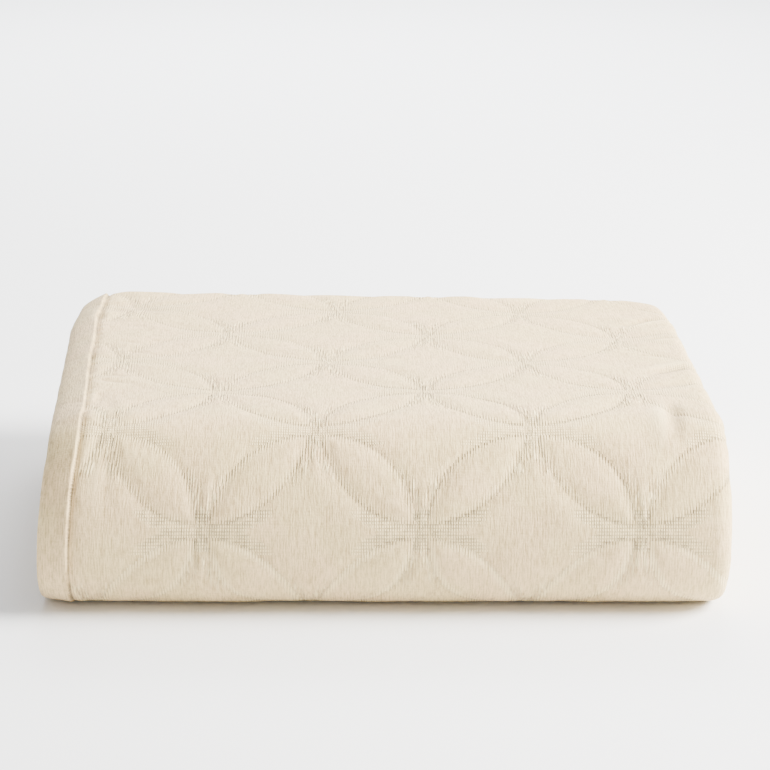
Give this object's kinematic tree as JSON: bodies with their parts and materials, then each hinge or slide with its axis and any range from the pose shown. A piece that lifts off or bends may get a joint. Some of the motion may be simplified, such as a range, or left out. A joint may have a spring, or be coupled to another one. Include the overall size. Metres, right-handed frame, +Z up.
{
  "type": "folded coverlet",
  "caption": "Quilted woven coverlet folded into a thick soft-edged block, with a round front fold, a stitched side hem and an overlapping-circles relief.",
  "frame": {"origin": "centre of the folded block's footprint, on the surface it rests on", "axes": "+X across the folded width, with the stitched side hem at -X and the soft folds at +X; the round front fold faces -Y; +Z up through the layers"},
  "size_m": [0.6138, 0.5264, 0.1679],
  "materials": {
    "cotton_cloth": "matte woven cotton"
  },
  "bodies": {
    "root": {"coverlet": "cotton_cloth"}
  },
  "joints": []
}
